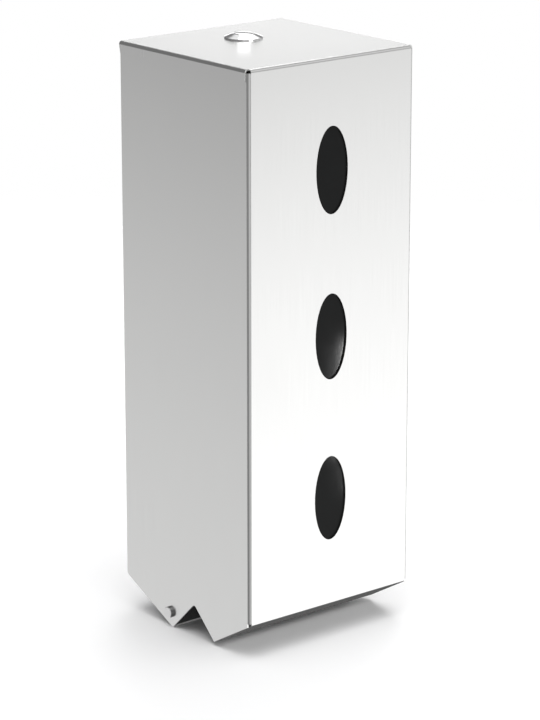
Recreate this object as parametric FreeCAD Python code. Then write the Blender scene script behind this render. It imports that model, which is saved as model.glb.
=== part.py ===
import FreeCAD, Part
import math
import os

# Wall-held holder for three toilet rolls, folded from satin steel sheet.
# Millimetres and degrees. The wall is the plane Y = 0, the front faces -Y, +Z is up,
# and the origin is the middle of the four wall slots.
# A reach is measured backwards from the front face, a drop downwards from a named height.

Vector = FreeCAD.Vector
X_AXIS = Vector(1, 0, 0)
Y_AXIS = Vector(0, 1, 0)
Z_AXIS = Vector(0, 0, 1)
SIDES = (-1, 1)

# Cover sheet and its folds
cover_width = 140.0
cover_depth = 134.5
front_height = 374.5
cover_sheet = 1.0
cover_bend = 1.2
wall_gap = 0.5
mount_below_top = 187.0
seam_gap = 0.2
top_relief = 0.2
low_relief = 1.4

# Lips folded down over the sides from the top
top_lip_height = 8.2
top_lip_slant = 1.2
top_lip_radius = 0.8

# Bottom outline of the sides
lip_angle = 30.0
lip_reach = 36.5
front_tip_reach = 37.9
notch_reach = 59.4
notch_drop = 1.3
rear_tip_reach = 83.4
rear_tip_drop = 24.9
tray_angle = 26.0
tip_radius = 0.9
notch_radius = 2.6
back_corner_radius = 3.0

# Level windows and the dark strip behind them
window_width = 27.0
window_height = 58.8
window_pitch = 112.4
window_count = 3
top_window_drop = 74.3
strip_sheet = 2.0
strip_width = 48.0
strip_margin = 18.6
strip_corner_radius = 4.0
tape_sheet = 0.2
tape_width = 8.0
tape_edge = 1.5
tape_end_edge = 5.0

# Hinge pins near the rear tips
pin_reach = 86.1
pin_above_rear_tip = 10.4
pin_diameter = 7.8
pin_stand_out = 2.3
pin_fit = 0.05
pin_edge_bevel = 0.3
pin_shank_diameter = 6.0
pin_groove_diameter = 5.0
pin_inner_end = 1.2
spacer_diameter = 14.0
spacer_play = 0.05
clip_diameter = 10.5
clip_sheet = 0.7
clip_mouth = 3.6

# Clearance round threads, pin shanks and clips
thread_clearance = 0.03

# Plate on the wall with its flanges and ears
plate_sheet = 1.5
plate_bend = 1.5
plate_side_gap = 0.7
flange_depth = 18.0
ear_radius = 7.0
ear_edge = 1.4
ear_height = 40.0
ear_rise = 32.0
ear_corner_radius = 6.0
shelf_drop = 6.5
shelf_width = 90.0
channel_top_drop = 16.0
channel_corner_radius = 4.0
keeper_height = 20.5
keeper_play = 0.6
keeper_gap_width = 32.0
keeper_gap_back = 16.0
keeper_corner_radius = 2.0

# Slots for the wall screws
slot_spacing_across = 80.0
slot_spacing_up = 240.0
slot_width = 5.5
slot_length = 9.0

# Sloping tray under the lowest roll
tray_sheet = 1.2
tray_bend = 1.2
tray_seat_gap = 0.3
tray_back_flange = 12.0
tray_end_flange = 8.0
tray_end_start = 16.0
tray_end_stop = 5.0

# Stop studs and the slots that they slide in
open_angle = 40.0
stop_radius = 30.0
stop_start_angle = 50.0
stop_diameter = 5.0
stop_play = 0.4
stop_overhang = 1.0

# Buffers on the shelf of the wall plate
buffer_diameter = 11.0
buffer_stem_diameter = 5.0
buffer_stem_end = 1.5
buffer_gap = 0.3
buffer_stem_gap = 0.05
buffer_setout = 34.0
buffer_from_wall = 24.0

# Cam lock in the top
lock_from_back = 43.2
lock_head_diameter = 25.8
lock_head_edge = 0.9
lock_head_height = 3.1
lock_head_top_diameter = 14.6
barrel_diameter = 18.8
barrel_across_flats = 16.0
barrel_length = 20.0
barrel_hole_gap = 0.2
barrel_floor = 5.0
plug_diameter = 13.4
plug_stand_out = 3.4
plug_fit = 0.05
plug_edge_round = 0.35
plug_shank_diameter = 10.6
plug_shoulder_gap = 0.3
key_slot_length = 12.4
key_slot_width = 2.4
key_slot_depth = 3.0
key_slot_angle = -58.0
lock_nut_across = 24.0
lock_nut_height = 3.5
cam_sheet = 2.0
cam_width = 15.0
cam_length = 30.0
cam_tip_radius = 3.0
cam_square = 6.0
cam_square_gap = 0.05
cam_washer_diameter = 11.0
cam_washer_sheet = 0.8
cam_screw_diameter = 4.0
cam_screw_head_diameter = 7.6
cam_screw_head_height = 2.5
cam_screw_depth = 8.0
cam_screw_slot_width = 1.0
cam_screw_slot_depth = 1.1

# One overrun for every cut, and the distance below which two points are one
overrun = 5.0
closeness = 0.0001

# Counts and shares
full_turn = 360.0
hexagon_sides = 6
slot_wedge_share = 2.0

# Places worked out from the sizes
top_z = mount_below_top
low_z = top_z - front_height
front_y = -(cover_depth + wall_gap)
back_y = -wall_gap
half_width = cover_width / 2
side_inner_x = half_width - cover_sheet
cover_outer_bend = cover_bend + cover_sheet
fold_x = half_width - cover_outer_bend
lip_slope = math.tan(math.radians(lip_angle))
tray_slope = math.tan(math.radians(tray_angle))
rear_tip_y = front_y + rear_tip_reach
rear_tip_z = low_z - rear_tip_drop
inner_front_y = front_y + cover_sheet
inner_top_z = top_z - cover_sheet
pin_y = front_y + pin_reach
pin_z = rear_tip_z + pin_above_rear_tip
pin_radius = pin_diameter / 2
plate_outer_bend = plate_bend + plate_sheet
ear_outer_x = side_inner_x - plate_side_gap
ear_inner_x = ear_outer_x - plate_sheet
shelf_z = top_z - shelf_drop
shelf_under_z = shelf_z - plate_sheet
lock_y = back_y - lock_from_back
keeper_back_y = lock_y - cam_width / 2 - keeper_play
keeper_front_y = keeper_back_y - plate_sheet
barrel_end_z = top_z - barrel_length
cam_top_z = barrel_end_z - plug_shoulder_gap
cam_low_z = cam_top_z - cam_sheet
strip_front_y = inner_front_y + tape_sheet


def box(x_from, x_to, y_from, y_to, z_from, z_to):
    corner = Vector(min(x_from, x_to), min(y_from, y_to), min(z_from, z_to))
    return Part.makeBox(abs(x_to - x_from), abs(y_to - y_from), abs(z_to - z_from), corner)


def rod(diameter, start, end):
    """Round bar between two points."""
    along = end.sub(start)
    return Part.makeCylinder(diameter / 2, along.Length, start, along)


def rod_across(diameter, x_from, x_to, y, z):
    return rod(diameter, Vector(x_from, y, z), Vector(x_to, y, z))


def rod_upright(diameter, x, y, z_from, z_to):
    return rod(diameter, Vector(x, y, z_from), Vector(x, y, z_to))


def rounded_wire(corners, place):
    """Closed wire through corners (u, v, radius), with place putting (u, v) into space."""
    starts = []
    arcs = []
    ends = []
    for index, (u, v, radius) in enumerate(corners):
        here = Vector(u, v, 0)
        before = Vector(corners[index - 1][0], corners[index - 1][1], 0)
        after_index = (index + 1) % len(corners)
        after = Vector(corners[after_index][0], corners[after_index][1], 0)
        to_before = before.sub(here).normalize()
        to_after = after.sub(here).normalize()
        if radius == 0:
            starts.append(here)
            arcs.append(None)
            ends.append(here)
            continue
        half_turn = to_before.getAngle(to_after) / 2
        tangent = radius / math.tan(half_turn)
        inward = to_before.add(to_after).normalize()
        starts.append(here.add(to_before * tangent))
        arcs.append(here.add(inward * (radius / math.sin(half_turn) - radius)))
        ends.append(here.add(to_after * tangent))
    edges = []
    for index, middle in enumerate(arcs):
        start = place(starts[index].x, starts[index].y)
        end = place(ends[index].x, ends[index].y)
        if middle is not None:
            edges.append(Part.Arc(start, place(middle.x, middle.y), end).toShape())
        following = (index + 1) % len(corners)
        onward = place(starts[following].x, starts[following].y)
        if end.distanceToPoint(onward) > closeness:
            edges.append(Part.LineSegment(end, onward).toShape())
    return Part.Wire(edges)


def side_prism(corners, x_from, x_to):
    """Outline of (y, z, radius) corners, carried across from x_from to x_to."""
    wire = rounded_wire(corners, lambda y, z: Vector(x_from, y, z))
    return Part.Face(wire).extrude(X_AXIS * (x_to - x_from))


def upright_prism(corners, z_from, z_to):
    """Outline of (x, y, radius) corners, carried up from z_from to z_to."""
    wire = rounded_wire(corners, lambda x, y: Vector(x, y, z_from))
    return Part.Face(wire).extrude(Z_AXIS * (z_to - z_from))


def deep_prism(corners, y_from, y_to):
    """Outline of (x, z, radius) corners, carried back from y_from to y_to."""
    wire = rounded_wire(corners, lambda x, z: Vector(x, y_from, z))
    return Part.Face(wire).extrude(Y_AXIS * (y_to - y_from))


def turned(profile, x, y):
    """Solid turned about the upright axis through (x, y) from (radius, z) points."""
    points = [Vector(x + radius, y, z) for radius, z in profile]
    face = Part.Face(Part.makePolygon(points + [points[0]]))
    return face.revolve(Vector(x, y, 0), Z_AXIS, full_turn)


def washer(outer_diameter, inner_diameter, start, end):
    ring = rod(outer_diameter, start, end)
    return ring.cut(rod(inner_diameter, start, end))


def hex_nut(across, bore, start, end):
    """Hexagonal nut between two points on an upright axis."""
    corner_radius = across / math.sqrt(3)
    ring = []
    for step in range(hexagon_sides):
        turn = FreeCAD.Rotation(Z_AXIS, full_turn / hexagon_sides * step)
        ring.append(start.add(turn.multVec(X_AXIS * corner_radius)))
    block = Part.Face(Part.makePolygon(ring + [ring[0]])).extrude(end.sub(start))
    return block.cut(rod(bore, start, end))


def fused(pieces):
    return pieces[0].fuse(pieces[1:]).removeSplitter()


def mirrored_pair(piece):
    """A solid and its mirror image across the middle plane."""
    return Part.makeCompound([piece, piece.mirror(Vector(0, 0, 0), X_AXIS)])


def lip_z(y):
    """Height of the bottom lip's outer face, which the sides' edges follow."""
    return low_z - (y - front_y) * lip_slope


def tray_edge_z(y):
    """Height of the sloping rear edge of the sides, which the tray follows."""
    return rear_tip_z + (y - rear_tip_y) * tray_slope


def window_heights():
    return [top_z - top_window_drop - step * window_pitch for step in range(window_count)]


def strip_low_z():
    return window_heights()[-1] - window_height / 2 - strip_margin


def strip_high_z():
    return window_heights()[0] + window_height / 2 + strip_margin


# Cover

def folded_strip():
    """Bottom lip, front and top as one strip between the corner folds."""
    lip_end_y = front_y + lip_reach
    sheet_up = cover_sheet / math.cos(math.radians(lip_angle))
    inner_low_z = lip_z(inner_front_y) + sheet_up
    across = cover_sheet * math.sin(math.radians(lip_angle))
    upward = cover_sheet * math.cos(math.radians(lip_angle))
    corners = [
        (lip_end_y, lip_z(lip_end_y), 0),
        (front_y, low_z, cover_outer_bend),
        (front_y, top_z, cover_outer_bend),
        (back_y, top_z, 0),
        (back_y, inner_top_z, 0),
        (inner_front_y, inner_top_z, cover_bend),
        (inner_front_y, inner_low_z, cover_bend),
        (lip_end_y + across, lip_z(lip_end_y) + upward, 0),
    ]
    return side_prism(corners, -fold_x, fold_x)


def lip_wing():
    """End of the bottom lip, beside the corner relief and inside the side."""
    start_y = front_y + cover_outer_bend + low_relief
    end_y = front_y + lip_reach
    across = cover_sheet * math.sin(math.radians(lip_angle))
    upward = cover_sheet * math.cos(math.radians(lip_angle))
    corners = [
        (start_y, lip_z(start_y), 0),
        (end_y, lip_z(end_y), 0),
        (end_y + across, lip_z(end_y) + upward, 0),
        (start_y + across, lip_z(start_y) + upward, 0),
    ]
    return side_prism(corners, fold_x, side_inner_x - seam_gap)


def side_panel():
    """Flat side with the notch between its two tips."""
    fold_y = front_y + cover_outer_bend
    panel_top_z = top_z - cover_outer_bend - top_relief
    corners = [
        (fold_y, panel_top_z, 0),
        (back_y, panel_top_z, 0),
        (back_y, tray_edge_z(back_y), back_corner_radius),
        (rear_tip_y, rear_tip_z, tip_radius),
        (front_y + notch_reach, low_z - notch_drop, notch_radius),
        (front_y + front_tip_reach, lip_z(front_y + front_tip_reach), tip_radius),
        (fold_y, lip_z(fold_y), 0),
    ]
    panel = side_prism(corners, side_inner_x, half_width)
    return panel.cut(rod_across(pin_diameter + 2 * pin_fit, side_inner_x - overrun,
                                half_width + overrun, pin_y, pin_z))


def corner_fold():
    """Upright fold between the front and one side."""
    fold_y = front_y + cover_outer_bend
    low_end_z = low_z + low_relief
    high_end_z = top_z - cover_outer_bend - top_relief
    height = high_end_z - low_end_z
    base = Vector(fold_x, fold_y, low_end_z)
    outside = Part.makeCylinder(cover_outer_bend, height, base)
    inside = Part.makeCylinder(cover_bend, height, base)
    quarter = box(fold_x, half_width, front_y, fold_y, low_end_z, high_end_z)
    return outside.cut(inside).common(quarter)


def top_wing():
    """Edge of the top with the lip that folds down outside one side."""
    start_y = front_y + cover_outer_bend + top_relief
    outer_x = half_width + cover_sheet
    lip_low_z = top_z - top_lip_height
    corners = [
        (fold_x, top_z, 0),
        (outer_x, top_z, cover_outer_bend),
        (outer_x, lip_low_z, 0),
        (half_width, lip_low_z, 0),
        (half_width, inner_top_z, cover_bend),
        (fold_x, inner_top_z, 0),
    ]
    wing = deep_prism(corners, start_y, back_y)
    trim = [
        (start_y, top_z + overrun, 0),
        (back_y, top_z + overrun, 0),
        (back_y, top_z - cover_outer_bend, 0),
        (back_y - top_lip_slant, lip_low_z, top_lip_radius),
        (start_y, lip_low_z, top_lip_radius),
    ]
    return wing.common(side_prism(trim, fold_x - overrun, outer_x + overrun))


def window_cut(height_z):
    centre = Vector(0, front_y - overrun, height_z)
    top_point = centre.add(Z_AXIS * (window_height / 2))
    side_point = centre.add(X_AXIS * (window_width / 2))
    oval = Part.Ellipse(top_point, side_point, centre).toShape()
    return Part.Face(Part.Wire(oval)).extrude(Y_AXIS * (cover_sheet + 2 * overrun))


def barrel_bar(diameter, across_flats, z_from, z_to):
    """Round bar with two flats, about the lock's axis."""
    bar = rod_upright(diameter, 0, lock_y, z_from, z_to)
    return bar.common(box(-across_flats / 2, across_flats / 2, lock_y - diameter,
                          lock_y + diameter, z_from, z_to))


def cover_shell():
    half = [side_panel(), corner_fold(), top_wing(), lip_wing()]
    other_half = [piece.mirror(Vector(0, 0, 0), X_AXIS) for piece in half]
    shell = fused([folded_strip()] + half + other_half)
    for height_z in window_heights():
        shell = shell.cut(window_cut(height_z))
    lock_hole = barrel_bar(barrel_diameter + barrel_hole_gap, barrel_across_flats + barrel_hole_gap,
                           inner_top_z - overrun, top_z + overrun)
    return shell.cut(lock_hole)


def window_strip():
    half = strip_width / 2
    corners = [
        (-half, strip_low_z(), strip_corner_radius),
        (half, strip_low_z(), strip_corner_radius),
        (half, strip_high_z(), strip_corner_radius),
        (-half, strip_high_z(), strip_corner_radius),
    ]
    return deep_prism(corners, strip_front_y, strip_front_y + strip_sheet)


def window_tape():
    """Band of double-sided tape down each side of the windows."""
    outer_x = strip_width / 2 - tape_edge
    band = box(outer_x - tape_width, outer_x, inner_front_y, strip_front_y,
               strip_low_z() + tape_end_edge, strip_high_z() - tape_end_edge)
    return mirrored_pair(band)


def stop_place(angle):
    """Point (y, z) on the stop circle, at an angle up from straight back of the pin."""
    turn = math.radians(angle)
    return pin_y + stop_radius * math.cos(turn), pin_z + stop_radius * math.sin(turn)


def stop_studs():
    y, z = stop_place(stop_start_angle)
    stud = rod_across(stop_diameter, ear_inner_x - stop_overhang, side_inner_x, y, z)
    return mirrored_pair(stud)


# Wall plate

def wall_channel():
    """Back of the wall plate with its two side flanges."""
    low_end_z = tray_edge_z(-plate_outer_bend) + ear_edge
    high_end_z = top_z - channel_top_drop
    corners = [
        (-ear_outer_x, 0, plate_outer_bend),
        (ear_outer_x, 0, plate_outer_bend),
        (ear_outer_x, -flange_depth, 0),
        (ear_inner_x, -flange_depth, 0),
        (ear_inner_x, -plate_sheet, plate_bend),
        (-ear_inner_x, -plate_sheet, plate_bend),
        (-ear_inner_x, -flange_depth, 0),
        (-ear_outer_x, -flange_depth, 0),
    ]
    channel = upright_prism(corners, low_end_z, high_end_z)
    trim = [
        (overrun, low_end_z, 0),
        (overrun, high_end_z, 0),
        (-flange_depth, high_end_z, channel_corner_radius),
        (-flange_depth, low_end_z, 0),
    ]
    return channel.common(side_prism(trim, -half_width, half_width))


def ear():
    """Ear that carries one hinge pin."""
    edge_up = ear_edge / math.cos(math.radians(tray_angle))
    front_edge_y = pin_y - ear_radius
    fold_y = -plate_outer_bend
    ear_top_z = pin_z + ear_height
    corners = [
        (fold_y, tray_edge_z(fold_y) + edge_up, 0),
        (fold_y, ear_top_z + ear_rise, 0),
        (-flange_depth, ear_top_z + ear_rise, 0),
        (front_edge_y, ear_top_z, ear_corner_radius),
        (front_edge_y, pin_z, 0),
        (pin_y, pin_z, 0),
        (pin_y, tray_edge_z(pin_y) + edge_up, 0),
    ]
    plate = side_prism(corners, ear_inner_x, ear_outer_x)
    boss = rod_across(2 * ear_radius, ear_inner_x, ear_outer_x, pin_y, pin_z)
    cut_front_y = front_edge_y - overrun
    cut_front_z = tray_edge_z(cut_front_y) + edge_up
    below = side_prism([
        (cut_front_y, cut_front_z, 0),
        (fold_y, tray_edge_z(fold_y) + edge_up, 0),
        (fold_y, cut_front_z - overrun, 0),
        (cut_front_y, cut_front_z - overrun, 0),
    ], ear_inner_x - overrun, ear_outer_x + overrun)
    whole = fused([plate, boss]).cut(below)
    return whole.cut(rod_across(pin_shank_diameter + 2 * thread_clearance,
                                ear_inner_x - overrun, ear_outer_x + overrun, pin_y, pin_z))


def stop_slot():
    """Curved slot about the pin, as long as the cover's swing."""
    width = stop_diameter + 2 * stop_play
    x_from = ear_inner_x - overrun
    x_to = ear_outer_x + overrun
    start_y, start_z = stop_place(stop_start_angle)
    end_y, end_z = stop_place(stop_start_angle + open_angle)
    ring = rod_across(2 * stop_radius + width, x_from, x_to, pin_y, pin_z)
    ring = ring.cut(rod_across(2 * stop_radius - width, x_from, x_to, pin_y, pin_z))
    start_out_y = pin_y + slot_wedge_share * (start_y - pin_y)
    start_out_z = pin_z + slot_wedge_share * (start_z - pin_z)
    end_out_y = pin_y + slot_wedge_share * (end_y - pin_y)
    end_out_z = pin_z + slot_wedge_share * (end_z - pin_z)
    wedge = side_prism([
        (pin_y, pin_z, 0),
        (start_out_y, start_out_z, 0),
        (end_out_y, end_out_z, 0),
    ], x_from, x_to)
    ends = [rod_across(width, x_from, x_to, start_y, start_z),
            rod_across(width, x_from, x_to, end_y, end_z)]
    return fused([ring.common(wedge)] + ends)


def keeper_shelf():
    """Top of the wall plate: a shelf with the keeper folded down at its front."""
    half = shelf_width / 2
    foot_z = top_z - channel_top_drop - plate_outer_bend
    keeper_low_z = shelf_z - keeper_height
    corners = [
        (0, foot_z, 0),
        (0, shelf_z, plate_outer_bend),
        (keeper_front_y, shelf_z, plate_outer_bend),
        (keeper_front_y, keeper_low_z, 0),
        (keeper_back_y, keeper_low_z, 0),
        (keeper_back_y, shelf_under_z, plate_bend),
        (-plate_sheet, shelf_under_z, plate_bend),
        (-plate_sheet, foot_z, 0),
    ]
    shelf = side_prism(corners, -half, half)
    gap = keeper_gap_width / 2
    gap_corners = [
        (-gap, keeper_front_y - overrun, 0),
        (gap, keeper_front_y - overrun, 0),
        (gap, lock_y + keeper_gap_back, keeper_corner_radius),
        (-gap, lock_y + keeper_gap_back, keeper_corner_radius),
    ]
    return shelf.cut(upright_prism(gap_corners, keeper_low_z - overrun, shelf_z + overrun))


def buffer_places():
    return [(side * buffer_setout, -buffer_from_wall) for side in SIDES]


def wall_slot(x, z):
    straight = (slot_length - slot_width) / 2
    pieces = [box(x - straight, x + straight, -plate_sheet - overrun, overrun,
                  z - slot_width / 2, z + slot_width / 2)]
    for side in SIDES:
        end_x = x + side * straight
        pieces.append(rod(slot_width, Vector(end_x, -plate_sheet - overrun, z),
                          Vector(end_x, overrun, z)))
    return fused(pieces)


def wall_plate():
    right_ear = ear()
    left_ear = right_ear.mirror(Vector(0, 0, 0), X_AXIS)
    slot = stop_slot()
    plate = fused([wall_channel(), keeper_shelf(), right_ear, left_ear])
    plate = plate.cut(slot).cut(slot.mirror(Vector(0, 0, 0), X_AXIS))
    for across in SIDES:
        for up in SIDES:
            plate = plate.cut(wall_slot(across * slot_spacing_across / 2, up * slot_spacing_up / 2))
    for x, y in buffer_places():
        plate = plate.cut(rod_upright(buffer_stem_diameter + 2 * buffer_stem_gap, x, y,
                                      shelf_under_z - overrun, shelf_z + overrun))
    return plate


def rear_tray():
    """Sloping plate between the ears, with flanges against the wall plate and the ears."""
    seat_up = tray_seat_gap / math.cos(math.radians(tray_angle))
    sheet_up = tray_sheet / math.cos(math.radians(tray_angle))
    back_face_y = -plate_sheet
    front_face_y = back_face_y - tray_sheet
    flange_top_z = tray_edge_z(back_face_y) + seat_up + tray_back_flange
    across = tray_sheet * math.sin(math.radians(tray_angle))
    upward = tray_sheet * math.cos(math.radians(tray_angle))
    corners = [
        (rear_tip_y, rear_tip_z + seat_up, 0),
        (back_face_y, tray_edge_z(back_face_y) + seat_up, tray_bend + tray_sheet),
        (back_face_y, flange_top_z, 0),
        (front_face_y, flange_top_z, 0),
        (front_face_y, tray_edge_z(front_face_y) + seat_up + sheet_up, tray_bend),
        (rear_tip_y - across, rear_tip_z + seat_up + upward, 0),
    ]
    edge_x = ear_inner_x - tray_sheet - tray_bend
    strip = side_prism(corners, -edge_x, edge_x)
    return fused([strip, tray_channel(edge_x)])


def tray_channel(edge_x):
    """Ends of the tray with their upturned flanges, made level and then tilted."""
    run = (-plate_sheet - tray_sheet - rear_tip_y) / math.cos(math.radians(tray_angle))
    outer_x = ear_inner_x
    inner_x = ear_inner_x - tray_sheet
    corners = [
        (edge_x, 0, 0),
        (outer_x, 0, tray_bend + tray_sheet),
        (outer_x, tray_end_flange, 0),
        (inner_x, tray_end_flange, 0),
        (inner_x, tray_sheet, tray_bend),
        (edge_x, tray_sheet, 0),
    ]
    flange = deep_prism(corners, tray_end_start, run - tray_end_stop)
    flat = box(edge_x, outer_x, 0, tray_end_start, 0, tray_sheet)
    half = fused([flange, flat])
    both = Part.makeCompound([half, half.mirror(Vector(0, 0, 0), X_AXIS)])
    both.rotate(Vector(0, 0, 0), X_AXIS, tray_angle)
    seat_up = tray_seat_gap / math.cos(math.radians(tray_angle))
    both.translate(Vector(0, rear_tip_y, rear_tip_z + seat_up))
    return both


def buffer_at(x, y):
    """Rubber buffer pushed into the shelf, just under the closed cover."""
    head = rod_upright(buffer_diameter, x, y, shelf_z, inner_top_z - buffer_gap)
    stem = rod_upright(buffer_stem_diameter, x, y, shelf_under_z - buffer_stem_end, shelf_z)
    return fused([head, stem])


def top_buffers():
    return Part.makeCompound([buffer_at(x, y) for x, y in buffer_places()])


# Hinge

def hinge_pin():
    outer_end_x = half_width + pin_stand_out
    clip_x = ear_inner_x - clip_sheet
    inner_end_x = clip_x - pin_inner_end
    journal = rod_across(pin_diameter, ear_outer_x, outer_end_x, pin_y, pin_z)
    bevel = Part.makeCone(pin_radius - pin_edge_bevel, pin_radius, pin_edge_bevel,
                          Vector(outer_end_x, pin_y, pin_z), X_AXIS * -1)
    end_slice = rod_across(pin_diameter, outer_end_x - pin_edge_bevel, outer_end_x, pin_y, pin_z)
    journal = journal.cut(end_slice.cut(bevel))
    shank = rod_across(pin_shank_diameter, ear_inner_x, ear_outer_x, pin_y, pin_z)
    neck = rod_across(pin_groove_diameter, clip_x, ear_inner_x, pin_y, pin_z)
    end = rod_across(pin_shank_diameter, inner_end_x, clip_x, pin_y, pin_z)
    return fused([journal, shank, neck, end])


def hinge_spacers():
    ring = washer(spacer_diameter, pin_diameter + 2 * pin_fit,
                  Vector(ear_outer_x, pin_y, pin_z),
                  Vector(side_inner_x - 2 * spacer_play, pin_y, pin_z))
    return mirrored_pair(ring)


def hinge_clips():
    """Open ring in the groove of each pin."""
    clip_x = ear_inner_x - clip_sheet
    ring = washer(clip_diameter, pin_groove_diameter + 2 * thread_clearance,
                  Vector(clip_x, pin_y, pin_z), Vector(ear_inner_x, pin_y, pin_z))
    mouth = box(clip_x - overrun, ear_inner_x + overrun, pin_y - clip_mouth / 2, pin_y + clip_mouth / 2,
                pin_z, pin_z + clip_diameter)
    return mirrored_pair(ring.cut(mouth))


# Lock

def lock_housing():
    bore_radius = plug_diameter / 2 + plug_fit
    shank_radius = plug_shank_diameter / 2 + plug_fit
    head_top_z = top_z + lock_head_height
    floor_z = barrel_end_z + barrel_floor
    head = turned([
        (bore_radius, top_z),
        (lock_head_diameter / 2, top_z),
        (lock_head_diameter / 2, top_z + lock_head_edge),
        (lock_head_top_diameter / 2, head_top_z),
        (bore_radius, head_top_z),
    ], 0, lock_y)
    barrel = barrel_bar(barrel_diameter, barrel_across_flats, barrel_end_z, top_z)
    barrel = barrel.cut(rod_upright(2 * bore_radius, 0, lock_y, floor_z, top_z))
    barrel = barrel.cut(rod_upright(2 * shank_radius, 0, lock_y, barrel_end_z, floor_z))
    return fused([head, barrel])


def lock_nut():
    seat_z = inner_top_z
    return hex_nut(lock_nut_across, barrel_diameter + 2 * thread_clearance,
                   Vector(0, lock_y, seat_z - lock_nut_height), Vector(0, lock_y, seat_z))


def lock_plug():
    """Turning core, with the key slot above and the square for the cam below."""
    face_z = top_z + plug_stand_out
    step_z = barrel_end_z + barrel_floor + plug_shoulder_gap
    radius = plug_diameter / 2
    shank_radius = plug_shank_diameter / 2
    body = turned([
        (0, face_z),
        (radius - plug_edge_round, face_z),
        (radius, face_z - plug_edge_round),
        (radius, step_z),
        (shank_radius, step_z),
        (shank_radius, cam_top_z),
        (0, cam_top_z),
    ], 0, lock_y)
    half = cam_square / 2
    square = box(-half, half, lock_y - half, lock_y + half, cam_low_z, cam_top_z)
    plug = fused([body, square])
    slot = box(-key_slot_length / 2, key_slot_length / 2, lock_y - key_slot_width / 2,
               lock_y + key_slot_width / 2, face_z - key_slot_depth, face_z + overrun)
    slot.rotate(Vector(0, lock_y, 0), Z_AXIS, key_slot_angle)
    plug = plug.cut(slot)
    screw_hole = rod_upright(cam_screw_diameter + 2 * thread_clearance, 0, lock_y,
                             cam_low_z - overrun, cam_low_z + cam_screw_depth)
    return plug.cut(screw_hole)


def lock_cam():
    """Flat arm, pointing at the wall at rest, that turns behind the keeper."""
    half = cam_width / 2
    tip_y = lock_y + cam_length
    arm = upright_prism([
        (-half, lock_y, 0),
        (half, lock_y, 0),
        (half, tip_y, cam_tip_radius),
        (-half, tip_y, cam_tip_radius),
    ], cam_low_z, cam_top_z)
    boss = rod_upright(cam_width, 0, lock_y, cam_low_z, cam_top_z)
    hole = cam_square / 2 + cam_square_gap
    square = box(-hole, hole, lock_y - hole, lock_y + hole, cam_low_z - overrun, cam_top_z + overrun)
    return fused([arm, boss]).cut(square)


def cam_washer():
    return washer(cam_washer_diameter, cam_screw_diameter + 2 * thread_clearance,
                  Vector(0, lock_y, cam_low_z - cam_washer_sheet), Vector(0, lock_y, cam_low_z))


def cam_screw():
    seat_z = cam_low_z - cam_washer_sheet
    head_low_z = seat_z - cam_screw_head_height
    head = rod_upright(cam_screw_head_diameter, 0, lock_y, head_low_z, seat_z)
    shank = rod_upright(cam_screw_diameter, 0, lock_y, seat_z, cam_low_z + cam_screw_depth)
    slot = box(-cam_screw_head_diameter, cam_screw_head_diameter,
               lock_y - cam_screw_slot_width / 2, lock_y + cam_screw_slot_width / 2,
               head_low_z - overrun, head_low_z + cam_screw_slot_depth)
    return fused([head, shank]).cut(slot)


right_pin = hinge_pin()
left_pin = right_pin.mirror(Vector(0, 0, 0), X_AXIS)

nodes = {
    "cover_shell": cover_shell(),
    "window_strip": window_strip(),
    "window_tape": window_tape(),
    "stop_studs": stop_studs(),
    "lock_housing": lock_housing(),
    "lock_nut": lock_nut(),
    "lock_plug": lock_plug(),
    "lock_cam": lock_cam(),
    "cam_washer": cam_washer(),
    "cam_screw": cam_screw(),
    "wall_plate": wall_plate(),
    "rear_tray": rear_tray(),
    "hinge_pin_left": left_pin,
    "hinge_pin_right": right_pin,
    "hinge_spacers": hinge_spacers(),
    "hinge_clips": hinge_clips(),
    "top_buffers": top_buffers(),
}

os.makedirs("parts", exist_ok=True)
for name, shape in nodes.items():
    shape.exportStep("parts/" + name + ".step")
    print(name, "solids", len(shape.Solids), "volume", round(shape.Volume, 1), "valid", shape.isValid())
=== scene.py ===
import math
import bpy
from mathutils import Matrix, Vector


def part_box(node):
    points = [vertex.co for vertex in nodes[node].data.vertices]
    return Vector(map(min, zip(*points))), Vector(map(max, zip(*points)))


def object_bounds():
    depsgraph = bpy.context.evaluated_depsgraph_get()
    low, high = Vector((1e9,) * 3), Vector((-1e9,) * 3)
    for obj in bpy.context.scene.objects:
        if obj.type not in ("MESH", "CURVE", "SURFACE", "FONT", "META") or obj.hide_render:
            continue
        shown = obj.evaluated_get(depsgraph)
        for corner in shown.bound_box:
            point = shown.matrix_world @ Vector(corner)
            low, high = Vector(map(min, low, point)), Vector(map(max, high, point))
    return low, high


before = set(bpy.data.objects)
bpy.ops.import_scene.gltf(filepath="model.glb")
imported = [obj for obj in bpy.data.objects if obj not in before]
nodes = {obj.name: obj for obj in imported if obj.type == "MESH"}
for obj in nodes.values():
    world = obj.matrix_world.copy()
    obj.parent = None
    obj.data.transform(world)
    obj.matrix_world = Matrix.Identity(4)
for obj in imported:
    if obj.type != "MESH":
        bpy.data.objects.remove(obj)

# Metres, degrees, watts and linear light. The wall is y = 0, the front faces -Y and +Z is up.
cad_low, cad_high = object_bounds()

# Camera, fitted to the edges of the box in the photograph. Without any tilt it would look straight down.
camera_place = (-1.2612, -1.60325, 0.54766)
camera_turn = 39.466
camera_fall = 16.235
level_tilt = 90.0
focal_pixels = 3046.04
long_side_pixels = 720
sensor_mm = 36.0
clip_near = 0.05
clip_far = 60.0

# Floor: a pale round sheet that fades into the white surround between two distances from the middle
floor_half = 2.5
floor_gap = 0.0001
fade_start = 0.75
fade_end = 1.25
floor_colour = (0.90, 0.90, 0.90)
floor_tint = (0.87, 0.87, 0.875)
floor_roughness = 0.85

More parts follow.
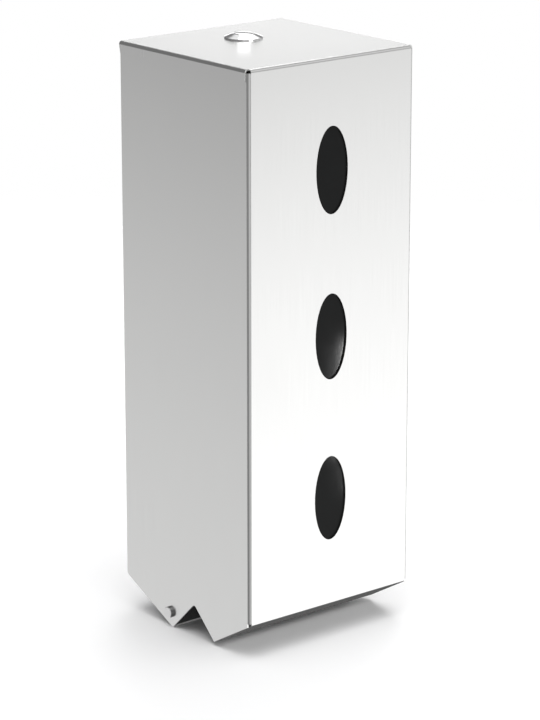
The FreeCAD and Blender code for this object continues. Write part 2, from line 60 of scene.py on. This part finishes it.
# Even light from all round, dimmer from below: it starts to dim, and is dimmest, at these upright parts of a
# unit direction
ambient_light = 0.22
ambient_below = 0.03
dim_start_share = -0.25
dim_end_share = -0.60
light_colour = (1.0, 1.0, 1.0)
white_background = 1.0

# Soft lobes of daylight: turn from +Y towards +X and rise, then the core where the lobe is full and the
# edge where it ends, all in degrees, and what it adds at its core
lobes = {
    "overhead": (-140.5, 82.0, 10.0, 40.0, 3.14),
    "behind": (50.0, 56.0, 5.0, 15.0, 3.60),
    "behind_low": (41.0, 38.6, 4.5, 17.0, 2.60),
    "right_wall": (39.5, 0.0, 3.0, 16.5, 1.73),
    "right_high": (110.0, 42.0, 15.0, 45.0, 0.38),
    "right_low": (85.0, -12.0, 20.0, 38.0, 0.45),
    "front_right": (140.0, 20.0, 10.0, 35.0, 0.42),
    "front_right_low": (134.0, -35.0, 15.0, 33.0, 1.72),
    "back_left_low": (-20.0, -45.0, 24.0, 46.0, 0.96),
    "near_side": (-160.0, -10.0, 10.0, 45.0, 0.55),
    "left_low": (-85.0, -25.0, 20.0, 45.0, 0.12),
    "under": (0.0, -90.0, 25.0, 50.0, 0.35),
    "front": (173.0, 17.0, 4.0, 16.0, 2.90),
    "camera_side": (-120.0, 45.0, 15.0, 45.0, 0.25),
}

# Small panels of light, each mirrored by one piece only: top, foot and the point that the panel faces, its
# width, the angle of its beam, its power, and the piece
glows = {
    "window_glow": ((0.1853, -0.3204, -0.0798), (0.1635, -0.3081, -0.1574), (0.0174, -0.1339, -0.0458),
                    0.010, 10.0, 0.0026, "window_strip"),
    "low_window_glow": ((0.1903, -0.3204, -0.1560), (0.1798, -0.3143, -0.1940), (0.0205, -0.1339, -0.1080),
                        0.010, 10.0, 0.00032, "window_strip"),
    "lock_glow": ((-0.0014, -0.0455, 0.2022), (0.0013, -0.0430, 0.1907), (-0.0174, -0.0657, 0.1870),
                  0.0088, 14.0, 0.0000030, "cover_shell"),
}

# Noises: cells per metre, levels of detail and the detail's weight. The grain is stretched beforehand.
grain_noise = (1.0, 3.0, 0.65)
smudge_noise = (9.0, 3.0, 0.55)
lock_tone_noise = (160.0, 3.0, 0.6)
mottle_noise = (420.0, 4.0, 0.6)
haze_noise = (55.0, 3.0, 0.6)
hairline_noise = (900.0, 2.0, 0.5)
floor_noise = (1.3, 2.0, 0.5)
speck_detail = 3.0
speck_weight = 0.6

# Part of a noise's range over which gloss swings
noise_low_share = 0.3
noise_high_share = 0.7

# Metallic part of the steels, and of the tray, lowered as painted shade
metal_share = 1.0
tray_shade_metal_share = 0.4

# Sheet finishes: dark and light tone, roughness, how far grain and smudges swing it, grain strength
sheet_finishes = {
    "cover_steel": ((0.61, 0.61, 0.605), (0.65, 0.65, 0.645), 0.24, 0.025, 0.015, 0.10),
    "plate_steel": ((0.60, 0.60, 0.60), (0.68, 0.68, 0.68), 0.38, 0.04, 0.03, 0.15),
    # The tray's dark tones are painted shade of the unlit inside
    "tray_steel": ((0.20, 0.20, 0.20), (0.26, 0.26, 0.26), 0.50, 0.04, 0.03, 0.15),
}

# Grain of the sheet: cells per metre along and across it, its height, and the upright parts of a face's
# normal between which the grain turns from walls to level faces
grain_along = 18.0
grain_across = 2600.0
grain_height = 0.00002
wall_share = 0.6
level_share = 0.8

# Lock: turned metal with fine rings
lock_dark = (0.78, 0.78, 0.78)
lock_light = (0.84, 0.84, 0.84)
lock_roughness = 0.16
ring_scale = 2600.0
ring_detail = 2.0
ring_swing = 0.03
ring_strength = 0.08
ring_height = 0.00002

# Painted shade inside the key slot: how far it goes from the plug's axis, and how far under its face it
# starts
key_slot_reach = 0.0062
key_slot_lip = 0.00005
key_slot_shade_colour = (0.05, 0.05, 0.05)

# Pins: rough side painted dark as shade and bright ground end, and the sideways parts of a face's normal
# between which they meet
pin_side_shade_dark = (0.23, 0.23, 0.23)
pin_side_shade_light = (0.27, 0.27, 0.27)
pin_side_roughness = 0.46
pin_end_dark = (0.60, 0.60, 0.60)
pin_end_light = (0.64, 0.64, 0.64)
pin_end_roughness = 0.26
pin_side_share = 0.3
pin_end_share = 0.8
pin_swing = 0.03
pin_strength = 0.08

# Small hardware
plated_dark = (0.52, 0.52, 0.50)
plated_light = (0.64, 0.64, 0.61)
plated_roughness = 0.34
plated_swing = 0.06
plated_strength = 0.12
mottle_height = 0.00003

# Dark strip behind the windows
acrylic_dark = (0.007, 0.0073, 0.0073)
acrylic_light = (0.010, 0.0103, 0.0103)
acrylic_roughness = 0.10
acrylic_swing = 0.015
acrylic_specular = 0.05
hairline_strength = 0.04
hairline_height = 0.00002

# Moulded finishes: dark and light tone, roughness, specks per metre and their strength
moulded_finishes = {
    "nylon": ((0.80, 0.79, 0.74), (0.86, 0.85, 0.81), 0.45, 700.0, 0.05),
    "rubber": ((0.035, 0.035, 0.035), (0.05, 0.05, 0.05), 0.70, 1500.0, 0.15),
    "adhesive_tape": ((0.02, 0.02, 0.02), (0.035, 0.035, 0.035), 0.85, 2600.0, 0.30),
}
moulded_swing = 0.05
speck_height = 0.00004

# Alpha of a solid colour, and the scales that leave out the upright part of a place
opaque = 1.0
level_only = (1.0, 1.0, 0.0)


def feed(tree, socket, value):
    """Set a socket to a number, vector or colour, or link another node's socket to it."""
    if isinstance(value, bpy.types.NodeSocket):
        tree.links.new(value, socket)
    elif socket.type == "RGBA":
        socket.default_value = (*value, opaque)
    else:
        socket.default_value = value


def fill(tree, node, **values):
    """Feed a node's inputs by name."""
    for name, value in values.items():
        feed(tree, node.inputs[name.replace("_", " ")], value)


def add(tree, kind, **values):
    """New node with its inputs fed by name."""
    node = tree.nodes.new(kind)
    fill(tree, node, **values)
    return node


def maths(tree, operation, *values, kind="ShaderNodeMath"):
    """Number that a math node makes of values or sockets."""
    node = tree.nodes.new(kind)
    node.operation = operation
    for socket, value in zip(node.inputs, values):
        feed(tree, socket, value)
    return node.outputs["Value"]


def vector_maths(tree, operation, *values):
    """Number that a vector math node makes of vectors or sockets."""
    return maths(tree, operation, *values, kind="ShaderNodeVectorMath")


def spread(tree, value, low, high, to_low=0.0, to_high=1.0, smooth=False):
    """Value from one range carried to another, held at the ends."""
    node = add(tree, "ShaderNodeMapRange", Value=value, From_Min=low, From_Max=high,
               To_Min=to_low, To_Max=to_high)
    node.interpolation_type = "SMOOTHSTEP" if smooth else "LINEAR"
    return node.outputs["Result"]


def swing(tree, value, middle, reach):
    """Noise carried to both sides of a middle value."""
    return spread(tree, value, noise_low_share, noise_high_share, middle - reach, middle + reach)


def blend(tree, share, first, second, data_type="RGBA"):
    """Mix of two colours, or of two numbers with the data type FLOAT."""
    node = tree.nodes.new("ShaderNodeMix")
    node.data_type = data_type
    kind = "RGBA" if data_type == "RGBA" else "VALUE"
    sockets = [socket for socket in node.inputs if socket.type == kind and socket.name in ("A", "B")]
    fill(tree, node, Factor=share)
    feed(tree, sockets[0], first)
    feed(tree, sockets[1], second)
    return next(socket for socket in node.outputs if socket.type == kind)


def noise(tree, coordinates, scale, detail, weight):
    node = add(tree, "ShaderNodeTexNoise", Vector=coordinates, Scale=scale, Detail=detail, Roughness=weight)
    return node.outputs["Fac"]


def stretched(tree, coordinates, scales):
    return add(tree, "ShaderNodeMapping", Vector=coordinates, Scale=scales).outputs["Vector"]


def part_of(tree, vector, axis):
    """One part of a vector: X, Y or Z."""
    return add(tree, "ShaderNodeSeparateXYZ", Vector=vector).outputs[axis]


def normal_part(tree, axis):
    """How far a face's own normal goes along an axis, either way."""
    normal = tree.nodes.new("ShaderNodeNewGeometry").outputs["True Normal"]
    return maths(tree, "ABSOLUTE", part_of(tree, normal, axis))


def off_axis(tree, coordinates, place):
    """Distance from an upright axis."""
    node = add(tree, "ShaderNodeMapping", Vector=coordinates, Scale=level_only,
               Location=(-place[0], -place[1], 0.0))
    return vector_maths(tree, "LENGTH", node.outputs["Vector"])


def new_material(name):
    material = bpy.data.materials.new(name)
    material.use_nodes = True
    tree = material.node_tree
    return material, tree, tree.nodes["Principled BSDF"]


def object_coordinates(tree):
    return tree.nodes.new("ShaderNodeTexCoord").outputs["Object"]


def bump(tree, shader, height, strength, distance):
    node = add(tree, "ShaderNodeBump", Height=height, Strength=strength, Distance=distance)
    fill(tree, shader, Normal=node.outputs["Normal"])


def grain_along_sheet(tree, coordinates):
    """Brushed grain that runs upright on the walls and front to back on level faces."""
    on_walls = stretched(tree, coordinates, (grain_across, grain_across, grain_along))
    on_level = stretched(tree, coordinates, (grain_across, grain_along, grain_across))
    turned = spread(tree, normal_part(tree, "Z"), wall_share, level_share)
    return blend(tree, turned, noise(tree, on_walls, *grain_noise), noise(tree, on_level, *grain_noise),
                 "FLOAT")


def sheet_steel(name, metallic):
    """Satin sheet: fine grain in height and gloss, with faint broad smudges."""
    dark, light, roughness, grain_swing, smudge_swing, grain_strength = sheet_finishes[name]
    material, tree, shader = new_material(name)
    coordinates = object_coordinates(tree)
    grain = grain_along_sheet(tree, coordinates)
    smudge = noise(tree, coordinates, *smudge_noise)
    from_grain = swing(tree, grain, roughness, grain_swing)
    from_smudge = swing(tree, smudge, 0.0, smudge_swing)
    fill(tree, shader, Metallic=metallic, Base_Color=blend(tree, smudge, dark, light),
         Roughness=maths(tree, "ADD", from_grain, from_smudge))
    bump(tree, shader, grain, grain_strength, grain_height)
    return material


def turned_metal(name, axis_place):
    """Metal turned about an upright axis: fine rings in height and gloss."""
    material, tree, shader = new_material(name)
    coordinates = object_coordinates(tree)
    node = add(tree, "ShaderNodeTexNoise", Scale=ring_scale, Detail=ring_detail)
    node.noise_dimensions = "1D"
    fill(tree, node, W=off_axis(tree, coordinates, axis_place))
    rings = node.outputs["Fac"]
    tone = noise(tree, coordinates, *lock_tone_noise)
    fill(tree, shader, Metallic=metal_share, Base_Color=blend(tree, tone, lock_dark, lock_light),
         Roughness=swing(tree, rings, lock_roughness, ring_swing))
    bump(tree, shader, rings, ring_strength, ring_height)
    return material


def paint_key_slot_shade(material, axis_place, face_z):
    """Painted shade inside the key slot, under the plug's face and within its edge."""
    tree = material.node_tree
    shader = tree.nodes["Principled BSDF"]
    coordinates = object_coordinates(tree)
    within = maths(tree, "LESS_THAN", off_axis(tree, coordinates, axis_place), key_slot_reach)
    below = maths(tree, "LESS_THAN", part_of(tree, coordinates, "Z"), face_z - key_slot_lip)
    bright = shader.inputs["Base Color"].links[0].from_socket
    slot = maths(tree, "MULTIPLY", within, below)
    fill(tree, shader, Base_Color=blend(tree, slot, bright, key_slot_shade_colour))


def pin_steel():
    """Pin with a bright ground end and a rough side whose dark colour is painted shade."""
    material, tree, shader = new_material("pin_steel")
    mottle = noise(tree, object_coordinates(tree), *mottle_noise)
    end = spread(tree, normal_part(tree, "X"), pin_side_share, pin_end_share)
    side_painted_shade = blend(tree, mottle, pin_side_shade_dark, pin_side_shade_light)
    end_tone = blend(tree, mottle, pin_end_dark, pin_end_light)
    from_end = blend(tree, end, pin_side_roughness, pin_end_roughness, "FLOAT")
    from_mottle = swing(tree, mottle, 0.0, pin_swing)
    fill(tree, shader, Metallic=metal_share, Base_Color=blend(tree, end, side_painted_shade, end_tone),
         Roughness=maths(tree, "ADD", from_end, from_mottle))
    bump(tree, shader, mottle, pin_strength, mottle_height)
    return material


def plated_steel():
    """Small hardware: plated steel with a faint mottle."""
    material, tree, shader = new_material("fastener_steel")
    mottle = noise(tree, object_coordinates(tree), *mottle_noise)
    fill(tree, shader, Metallic=metal_share, Base_Color=blend(tree, mottle, plated_dark, plated_light),
         Roughness=swing(tree, mottle, plated_roughness, plated_swing))
    bump(tree, shader, mottle, plated_strength, mottle_height)
    return material


def smoked_acrylic():
    """Nearly black glossy sheet with hairline marks."""
    material, tree, shader = new_material("smoked_acrylic")
    coordinates = object_coordinates(tree)
    haze = noise(tree, coordinates, *haze_noise)
    fill(tree, shader, Base_Color=blend(tree, haze, acrylic_dark, acrylic_light),
         Roughness=swing(tree, haze, acrylic_roughness, acrylic_swing), Specular_IOR_Level=acrylic_specular)
    bump(tree, shader, noise(tree, coordinates, *hairline_noise), hairline_strength, hairline_height)
    return material


def moulded(name):
    """Plain moulded plastic or rubber with a fine skin."""
    dark, light, roughness, speck_scale, speck_strength = moulded_finishes[name]
    material, tree, shader = new_material(name)
    speck = noise(tree, object_coordinates(tree), speck_scale, speck_detail, speck_weight)
    fill(tree, shader, Base_Color=blend(tree, speck, dark, light),
         Roughness=swing(tree, speck, roughness, moulded_swing))
    bump(tree, shader, speck, speck_strength, speck_height)
    return material


def floor_paper():
    """Pale paper, clear from the end of its fade on."""
    material, tree, shader = new_material("floor_paper")
    coordinates = object_coordinates(tree)
    cloud = noise(tree, coordinates, *floor_noise)
    distance = off_axis(tree, coordinates, (0.0, 0.0))
    fill(tree, shader, Base_Color=blend(tree, cloud, floor_colour, floor_tint),
         Roughness=floor_roughness, Specular_IOR_Level=0.0,
         Alpha=spread(tree, distance, fade_start, fade_end, opaque, 0.0, smooth=True))
    return material


def make_camera():
    data = bpy.data.cameras.new("photo_camera")
    data.sensor_width = sensor_mm
    data.lens = focal_pixels * sensor_mm / long_side_pixels
    data.clip_start = clip_near
    data.clip_end = clip_far
    camera = bpy.data.objects.new("photo_camera", data)
    camera.location = camera_place
    camera.rotation_euler = (math.radians(level_tilt - camera_fall), 0.0, math.radians(-camera_turn))
    bpy.context.scene.collection.objects.link(camera)
    bpy.context.scene.camera = camera


def make_floor():
    height = cad_low.z - floor_gap
    corners = [(-floor_half, -floor_half, height), (floor_half, -floor_half, height),
               (floor_half, floor_half, height), (-floor_half, floor_half, height)]
    mesh = bpy.data.meshes.new("floor")
    mesh.from_pydata(corners, [], [tuple(range(len(corners)))])
    mesh.materials.append(floor_paper())
    floor = bpy.data.objects.new("floor", mesh)
    floor.visible_glossy = False
    floor.visible_shadow = False
    bpy.context.scene.collection.objects.link(floor)


def heading(turn, rise):
    """Unit vector turned clockwise from +Y, seen from above, and raised from the level."""
    turn = math.radians(turn)
    rise = math.radians(rise)
    return Vector((math.cos(rise) * math.sin(turn), math.cos(rise) * math.cos(turn), math.sin(rise)))


def make_world():
    """Sky of even light and lobes, which the camera sees as plain white."""
    world = bpy.data.worlds.new("studio")
    bpy.context.scene.world = world
    world.use_nodes = True
    tree = world.node_tree
    direction = tree.nodes.new("ShaderNodeTexCoord").outputs["Generated"]
    upright_part = part_of(tree, direction, "Z")
    total = spread(tree, upright_part, dim_end_share, dim_start_share, ambient_below, ambient_light)
    for turn, rise, core, edge, gain in lobes.values():
        nearness = vector_maths(tree, "DOT_PRODUCT", direction, heading(turn, rise))
        edge_cosine = math.cos(math.radians(edge))
        core_cosine = math.cos(math.radians(core))
        lobe = spread(tree, nearness, edge_cosine, core_cosine, to_high=gain, smooth=True)
        total = maths(tree, "ADD", total, lobe)
    seen = tree.nodes.new("ShaderNodeLightPath").outputs["Is Camera Ray"]
    fill(tree, tree.nodes["Background"], Color=light_colour,
         Strength=blend(tree, seen, total, white_background, "FLOAT"))


def make_glow(name, top, foot, target, width, beam, power, lit_node):
    """Small panel of light that only one piece mirrors, from its top and foot and the point it faces."""
    top = Vector(top)
    foot = Vector(foot)
    middle = (top + foot) / 2
    upward = (top - foot).normalized()
    sideways = upward.cross(middle - Vector(target)).normalized()
    data = bpy.data.lights.new(name, "AREA")
    data.shape = "RECTANGLE"
    data.size = width
    data.size_y = (top - foot).length
    data.spread = math.radians(beam)
    data.energy = power
    light = bpy.data.objects.new(name, data)
    light.location = middle
    light.rotation_euler = Matrix((sideways, upward, sideways.cross(upward))).transposed().to_euler()
    light.visible_camera = False
    bpy.context.scene.collection.objects.link(light)
    lit = bpy.data.collections.new(name + "_lit")
    lit.objects.link(nodes[lit_node])
    light.light_linking.receiver_collection = lit


def dress(material, *names):
    for name in names:
        mesh = nodes[name].data
        mesh.materials.clear()
        mesh.materials.append(material)


def dress_nodes():
    lock_low, lock_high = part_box("lock_plug")
    lock_axis = ((lock_low.x + lock_high.x) / 2, (lock_low.y + lock_high.y) / 2)
    dress(sheet_steel("cover_steel", metal_share), "cover_shell")
    dress(sheet_steel("plate_steel", metal_share), "wall_plate")
    # Rear tray: steel painted dark as shade
    dress(sheet_steel("tray_steel", tray_shade_metal_share), "rear_tray")
    dress(smoked_acrylic(), "window_strip")
    dress(turned_metal("lock_metal", lock_axis), "lock_housing")
    plug_metal = turned_metal("plug_metal", lock_axis)
    # The plug's key slot gets a painted shade
    paint_key_slot_shade(plug_metal, lock_axis, lock_high.z)
    dress(plug_metal, "lock_plug")
    dress(pin_steel(), "hinge_pin_left", "hinge_pin_right")
    dress(plated_steel(), "stop_studs", "lock_nut", "lock_cam", "cam_washer", "cam_screw", "hinge_clips")
    dress(moulded("nylon"), "hinge_spacers")
    dress(moulded("rubber"), "top_buffers")
    dress(moulded("adhesive_tape"), "window_tape")


bpy.context.scene.view_settings.view_transform = "Standard"
make_camera()
make_floor()
make_world()
for name, glow in glows.items():
    make_glow(name, *glow)
dress_nodes()
